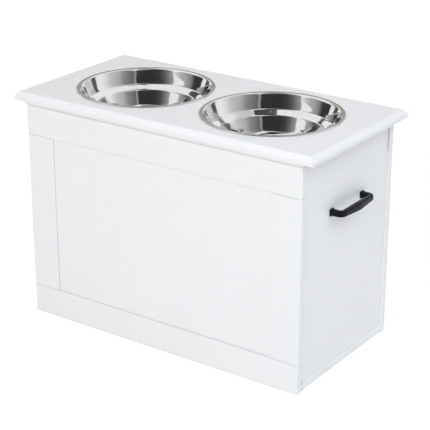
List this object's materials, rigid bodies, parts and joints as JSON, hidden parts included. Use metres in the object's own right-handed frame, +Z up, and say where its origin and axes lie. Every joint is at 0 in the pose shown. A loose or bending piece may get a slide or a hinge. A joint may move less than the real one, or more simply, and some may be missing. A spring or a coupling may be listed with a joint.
{
  "type": "elevated pet feeder with storage",
  "caption": "Raised feeder cabinet with framed faces, side handles, a hinged moulded lid and stepped steel bowls that lift out of it.",
  "frame": {"origin": "on the floor under the middle of the lid", "axes": "+X along the long side to the right, -Y out of the front, +Z up"},
  "size_m": [0.6038, 0.3, 0.412],
  "materials": {
    "white_painted_board": "smooth white painted fibreboard",
    "polished_stainless": "polished stainless steel",
    "black_handle": "satin black coated casting",
    "bright_steel": "zinc plated steel",
    "black_tube": "black coated steel tube",
    "dowel_wood": "bare beech",
    "bumper_rubber": "clear soft rubber"
  },
  "bodies": {
    "cabinet": {"back_bottom_rail": "white_painted_board", "back_left_stile": "white_painted_board", "back_panel": "white_painted_board", "back_right_stile": "white_painted_board", "back_top_rail": "white_painted_board", "board_dowels": "dowel_wood", "bottom_board": "white_painted_board", "bottom_cam_nuts": "bright_steel", "cam_bolts": "bright_steel", "front_bottom_rail": "white_painted_board", "front_left_stile": "white_painted_board", "front_panel": "white_painted_board", "front_right_stile": "white_painted_board", "front_top_rail": "white_painted_board", "handle_screws": "bright_steel", "hinge_cabinet_screws": "bright_steel", "left_handle": "black_handle", "left_hinge_cabinet_leaf": "bright_steel", "left_hinge_pin": "bright_steel", "left_side_panel": "white_painted_board", "left_stay_side_pin": "bright_steel", "left_stay_side_plate": "bright_steel", "lid_bumpers": "bumper_rubber", "rail_dowels": "dowel_wood", "right_handle": "black_handle", "right_hinge_cabinet_leaf": "bright_steel", "right_hinge_pin": "bright_steel", "right_side_panel": "white_painted_board", "right_stay_side_pin": "bright_steel", "right_stay_side_plate": "bright_steel", "side_cam_nuts": "bright_steel", "stay_side_screws": "bright_steel"},
    "lid": {"hinge_lid_screws": "bright_steel", "left_hinge_lid_leaf": "bright_steel", "left_stay_lid_pin": "bright_steel", "left_stay_lid_plate": "bright_steel", "lid_board": "white_painted_board", "right_hinge_lid_leaf": "bright_steel", "right_stay_lid_pin": "bright_steel", "right_stay_lid_plate": "bright_steel", "stay_lid_screws": "bright_steel"},
    "bowl_left": {"left_bowl": "polished_stainless"},
    "bowl_right": {"right_bowl": "polished_stainless"},
    "stay_tube_left": {"left_stay_tube": "black_tube"},
    "stay_tube_right": {"right_stay_tube": "black_tube"},
    "stay_rod_left": {"left_stay_rod": "bright_steel"},
    "stay_rod_right": {"right_stay_rod": "bright_steel"}
  },
  "joints": [
    {"name": "lid_hinge", "type": "hinge", "parent": "cabinet", "child": "lid", "pos_m": [0, 0.147, 0.387], "axis": [-1, 0, 0], "range_deg": [0, 80]},
    {"name": "left_bowl_lift", "type": "slide", "parent": "lid", "child": "bowl_left", "axis": [0, 0, 1], "range_m": [0, 0.09]},
    {"name": "right_bowl_lift", "type": "slide", "parent": "lid", "child": "bowl_right", "axis": [0, 0, 1], "range_m": [0, 0.09]},
    {"name": "left_stay_tube_turn", "type": "hinge", "parent": "cabinet", "child": "stay_tube_left", "pos_m": [-0.2555, 0.12371, 0.30007], "axis": [-1, 0, 0], "range_deg": [0, 40]},
    {"name": "left_stay_rod_turn", "type": "hinge", "parent": "lid", "child": "stay_rod_left", "pos_m": [-0.2555, 0.05731, 0.3795], "axis": [-1, 0, 0], "range_deg": [-40, 0]},
    {"name": "right_stay_tube_turn", "type": "hinge", "parent": "cabinet", "child": "stay_tube_right", "pos_m": [0.2555, 0.12371, 0.30007], "axis": [-1, 0, 0], "range_deg": [0, 40]},
    {"name": "right_stay_rod_turn", "type": "hinge", "parent": "lid", "child": "stay_rod_right", "pos_m": [0.2555, 0.05731, 0.3795], "axis": [-1, 0, 0], "range_deg": [-40, 0]}
  ],
  "couplings": [
    {"joint": "left_stay_tube_turn", "follows": "lid_hinge", "ratio": 0.5},
    {"joint": "left_stay_rod_turn", "follows": "lid_hinge", "ratio": -0.5},
    {"joint": "right_stay_tube_turn", "follows": "lid_hinge", "ratio": 0.5},
    {"joint": "right_stay_rod_turn", "follows": "lid_hinge", "ratio": -0.5}
  ]
}
